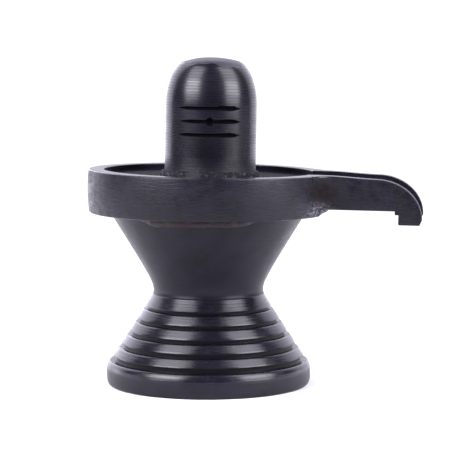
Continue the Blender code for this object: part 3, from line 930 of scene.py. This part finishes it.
def dome_outline():
    """The crown's flat arc and the round shoulder, from the top down, as (radius, height)."""
    flat = LINGA_RADIUS - SHOULDER_WIDTH
    turn = math.atan(flat / CROWN_RADIUS * SHOULDER_WIDTH / LINGA_RADIUS)
    edge = flat + SHOULDER_WIDTH * math.sin(turn)
    rise = CROWN_RADIUS - math.sqrt(CROWN_RADIUS ** 2 - edge ** 2)
    base = LINGA_HEIGHT - rise - LINGA_RADIUS * math.cos(turn)
    crown = []
    pieces = 40
    for i in range(pieces):
        radius = edge * i / pieces
        crown.append((radius, LINGA_HEIGHT - CROWN_RADIUS + math.sqrt(CROWN_RADIUS ** 2 - radius ** 2)))
    shoulder = arc((flat, base), (SHOULDER_WIDTH, LINGA_RADIUS), 90 - math.degrees(turn), 0, 70)
    return crown + shoulder


def linga_profile():
    """The dome and the shaft, with close rows where the marks are cut."""
    profile = dome_outline()
    reach = LINE_PITCH + LINE_MARGIN
    height = profile[-1][1]
    while height > ROW_STEP * WIDE_ROWS:
        marked = abs(height - LINE_MIDDLE) < reach
        height -= ROW_STEP if marked else ROW_STEP * WIDE_ROWS
        profile.append((LINGA_RADIUS, height))
    return profile + [(LINGA_RADIUS, 0.0), (0.0, 0.0)]


def grind_shoulder(x, y, z):
    """The height left where the dome's left shoulder was ground to a slanting flat."""
    across = x * math.cos(CAMERA_TURN) + y * math.sin(CAMERA_TURN)
    flat = FACET_HEIGHT - FACET_SLOPE * (FACET_START - across)
    return np.where(across < FACET_START, np.minimum(z, flat), z)


def linga_finish():
    """Polished on the lathe: glossy, with rings that break up each reflection, and a dusty foot."""
    material, tree, shader, place = new_material("lathe_polished_soapstone")
    inputs = {"Vector": place, "Angle": -BASIN_LEAN}
    level = add(tree, "ShaderNodeVectorRotate", inputs, rotation_type="Y_AXIS").outputs[0]
    marks = rings(tree, level, RING_PITCH)
    span = {"Value": marks, "From Min": 0.9, "From Max": 1.6, "To Min": 0.22, "To Max": 0.31}
    polish = add(tree, "ShaderNodeMapRange", span).outputs[0]
    height = add(tree, "ShaderNodeSeparateXYZ", {0: level}).outputs["Z"]
    foot = BASIN_SEAT + DISH_FLOOR
    span = {"Value": height, "From Min": foot + 0.0052, "From Max": foot + 0.0018}
    dusty = add(tree, "ShaderNodeMapRange", span).outputs[0]
    grit = cloud(tree, place, 0.00035, 3.0, (1.5, 1.5, 0.8))
    grain = add(tree, "ShaderNodeMath", {0: grit, 1: dusty}, operation="MULTIPLY").outputs[0]
    dust = {"Height": grain, "Strength": 0.8, "Distance": 0.00009}
    span = {"Value": marks, "From Min": 0.95, "From Max": 1.6, "To Min": 0.5, "To Max": 0.34}
    feed(shader, {
        "Base Color": stone_colour(tree, place),
        "Specular IOR Level": add(tree, "ShaderNodeMapRange", span).outputs[0],
        "Roughness": add(tree, "ShaderNodeMix", {0: dusty, 2: polish, 3: 0.5}).outputs[0],
        "IOR": 1.46,
        "Normal": add(tree, "ShaderNodeBump", dust).outputs[0],
    })
    return material


def ground_finish():
    """The crown, ground by hand with grit: grey and dull beside the polish."""
    material, tree, shader, place = new_material("hand_ground_crown")
    stops = [(0.35, linear("1b1a24")), (0.7, linear("2e2c38"))]
    clouds = {"Fac": cloud(tree, place, 0.0015, 4.0)}
    grit = {"Height": cloud(tree, place, 0.0003, 3.0), "Strength": 0.4, "Distance": 0.00003}
    feed(shader, {
        "Base Color": add(tree, "ShaderNodeValToRGB", clouds, stops).outputs[0],
        "Roughness": 0.46,
        "IOR": 1.5,
        "Normal": add(tree, "ShaderNodeBump", grit).outputs[0],
    })
    return material


def ground_edge(angle):
    """The height, on the linga, of the wavy lower edge of the ground crown at an angle."""
    wave = 0.00035 * np.sin(5 * angle + 1.9) + 0.00018 * np.sin(11 * angle + 0.6)
    return GROUND_HEIGHT - 0.0004 * np.sin(angle) + wave


def carve_linga(mesh):
    """The three lines, the dot, the ground crown and shoulder, as depths under the turned form."""
    places = np.zeros(len(mesh.vertices) * 3)
    mesh.vertices.foreach_get("co", places)
    places = places.reshape(-1, 3)
    x, y, z = places.T
    radius = np.hypot(x, y)
    angle = np.arctan2(y, x) - MARK_AZIMUTH
    angle = (angle + np.pi) % (2 * np.pi) - np.pi
    along = LINGA_RADIUS * angle
    depth = np.zeros(len(x))
    for number, (left, right) in enumerate(LINE_ENDS):
        share = (along - left) / (right - left)
        thick = np.exp(-((share - SWELL_PLACE) / SWELL_LENGTH) ** 2)
        taper = np.sqrt(smooth(share / LEFT_TAPER)) * np.sqrt(smooth((1 - share) / RIGHT_TAPER))
        half = LINE_HALF * (1 + SWELL * thick) * taper
        middle = LINE_MIDDLE + LINE_PITCH * (1 - number) + LINE_LIFT[number] * thick
        across = np.abs(z - middle) / np.maximum(half, 0.00001)
        inside = (share > 0) & (share < 1) & (across < 1)
        cut = LINE_DEPTH * np.sqrt(np.clip(1 - across ** 2, 0.0, 1.0)) * np.minimum(half / LINE_HALF, 1.0)
        depth = np.maximum(depth, np.where(inside, cut, 0.0))
    aside = np.abs(along / DOT_HALF_WIDTH) ** DOT_SQUARENESS
    aloft = np.abs((z - LINE_MIDDLE) / DOT_HALF_HEIGHT) ** DOT_SQUARENESS
    dot = DOT_DEPTH * np.sqrt(np.clip(1 - aside - aloft, 0.0, 1.0))
    depth = np.where(np.abs(angle) < MARK_REACH, np.maximum(depth, dot), 0.0)
    side = radius > LINGA_RADIUS * 0.6
    shrink = np.where(side, 1 - depth / np.maximum(radius, 0.001), 1.0)
    places[:, 0] *= shrink
    places[:, 1] *= shrink
    above = z > ground_edge(angle)
    places[:, 2] = grind_shoulder(*places.T) - GROUND_STEP * above
    mesh.vertices.foreach_set("co", places.ravel())
    mesh.update()
    # The cut lines and the dot get the black, nearly unreflecting cut finish.
    mesh.materials.append(cut_finish("mark_cut_black_dull", 1.08, 0.9))
    mesh.materials.append(ground_finish())
    for face in mesh.polygons:
        if max(depth[i] for i in face.vertices) > CUT_PAINT:
            face.material_index = 1
        elif all(above[i] for i in face.vertices):
            face.material_index = 2


def part_shading(mesh):
    """Keep the shading apart where two finishes meet."""
    finishes = {}
    for face in mesh.polygons:
        for edge in face.edge_keys:
            finishes.setdefault(edge, set()).add(face.material_index)
    for edge in mesh.edges:
        if len(finishes.get(edge.key, ())) > 1:
            edge.use_edge_sharp = True


linga = turn_profile("linga_stone", linga_profile(), LINGA_STEPS, linga_finish(),
                     wander=LINGA_WANDER, wander_size=LINGA_WANDER_SIZE, seed=2.0)
carve_linga(linga.data)
linga.data.transform(STANDING)
shade(linga, 60)
part_shading(linga.data)
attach(linga, "root")
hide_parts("linga")

# The studio
# A plain white floor. A tall soft box stands in front on each side, brighter across its middle,
# with walls of light behind and a low white card beside each side of the foot. The camera is
# level with the linga's top.
FLOOR_WIDTH = 1.0
FLOOR_DEPTH = 0.4
FLOOR_WHITE = 0.8
LIGHT_CENTRE = 0.045
CAMERA_DISTANCE = 0.4458
CAMERA_SIDE = 0.006675
CAMERA_HEIGHT = 0.0778
CAMERA_PITCH = math.radians(5.68)
CAMERA_LENS = 148.8
CAMERA_SHIFT = 0.00105
SENSOR_WIDTH = 36.0
SILK = (0.93, 0.91, 1.0)
PAPER = (0.87, 0.84, 1.0)
WHITE = (1.0, 1.0, 1.0, 1.0)
ROOM_GLOW = 0.15
BACKDROP = 1.2


def floor_finish():
    """Matt white paper."""
    material, _, shader, _ = new_material("matt_white_floor")
    feed(shader, {"Base Color": grey(FLOOR_WHITE), "Roughness": 0.9})
    return material


floor_mesh = bpy.data.meshes.new("floor")
side, end = FLOOR_WIDTH / 2, FLOOR_DEPTH / 2
corners = [(-side, -end, 0), (side, -end, 0), (side, end, 0), (-side, end, 0)]
floor_mesh.from_pydata(corners, [], [(0, 1, 2, 3)])
floor = link("floor", floor_mesh)
floor_mesh.materials.append(floor_finish())


def soft_box(name, azimuth, elevation, distance, width, height, radiance, colour, roll=0.0, lift=0.0):
    """A rectangular light facing the object, at an azimuth from the camera's side in degrees."""
    light = bpy.data.lights.new(name, "AREA")
    light.shape = "RECTANGLE"
    light.size = width
    light.size_y = height
    light.energy = radiance * math.pi * width * height
    light.color = colour
    obj = bpy.data.objects.new(name, light)
    bpy.context.scene.collection.objects.link(obj)
    turn = math.radians(-90 + azimuth) + CAMERA_TURN
    rise = math.radians(elevation)
    out = Vector((math.cos(turn) * math.cos(rise), math.sin(turn) * math.cos(rise), math.sin(rise)))
    facing = (-out).to_track_quat("-Z", "Y") @ Quaternion((0.0, 0.0, 1.0), math.radians(roll))
    obj.location = Vector((0.0, 0.0, LIGHT_CENTRE)) + out * distance + facing @ Vector((0.0, lift, 0.0))
    obj.rotation_euler = facing.to_euler()
    obj.visible_camera = False


soft_box("soft_box_left", -52, 24, 1.2, 0.82, 1.6, 7.2, SILK, roll=10, lift=0.43)
soft_box("soft_box_left_middle", -52, 24, 1.17, 0.72, 0.42, 9.8, SILK, roll=10, lift=0.07)
soft_box("soft_box_right", 60, 24, 1.2, 0.82, 1.75, 6.9, SILK, roll=-10, lift=0.355)
soft_box("soft_box_right_middle", 60, 24, 1.17, 0.72, 0.42, 6.4, SILK, roll=-10, lift=-0.02)
soft_box("light_wall_left", -142, 15, 1.3, 1.25, 2.1, 2.8, PAPER)
soft_box("light_wall_right", 142, 15, 1.3, 1.1, 2.1, 1.9, PAPER)
soft_box("light_wall_behind", 180, 24, 1.3, 0.9, 1.75, 1.3, PAPER)
soft_box("low_card_left", -98, -18, 0.11, 0.1, 0.018, 2.4, PAPER)
soft_box("low_card_right", 98, -16, 0.13, 0.1, 0.018, 2.2, PAPER)
soft_box("rim_light_left", -146, 18, 1.25, 0.6, 0.5, 0.5, PAPER)
soft_box("rim_light_right", 146, 18, 1.25, 0.6, 0.5, 0.4, PAPER)

world = bpy.data.worlds.new("studio_white")
bpy.context.scene.world = world
world.use_nodes = True
tree = world.node_tree
for node in list(tree.nodes):
    tree.nodes.remove(node)
seen = add(tree, "ShaderNodeLightPath").outputs["Is Camera Ray"]
dim = add(tree, "ShaderNodeBackground", {"Color": WHITE, "Strength": ROOM_GLOW})
bright = add(tree, "ShaderNodeBackground", {"Color": WHITE, "Strength": BACKDROP})
both = add(tree, "ShaderNodeMixShader", {0: seen, 1: dim.outputs[0], 2: bright.outputs[0]})
add(tree, "ShaderNodeOutputWorld", {"Surface": both.outputs[0]})

camera_data = bpy.data.cameras.new("camera")
camera_data.lens = CAMERA_LENS
camera_data.sensor_width = SENSOR_WIDTH
camera_data.shift_x = -CAMERA_SHIFT
camera_data.shift_y = CAMERA_SHIFT
camera_data.clip_start = 0.01
camera = bpy.data.objects.new("camera", camera_data)
bpy.context.scene.collection.objects.link(camera)
right = Vector((math.cos(CAMERA_TURN), math.sin(CAMERA_TURN), 0.0))
back = Vector((math.sin(CAMERA_TURN), -math.cos(CAMERA_TURN), 0.0))
camera.location = right * CAMERA_SIDE + back * CAMERA_DISTANCE + Vector((0.0, 0.0, CAMERA_HEIGHT))
camera.rotation_euler = (math.pi / 2 - CAMERA_PITCH, 0.0, CAMERA_TURN)
bpy.context.scene.camera = camera
bpy.context.scene.view_settings.view_transform = "Standard"
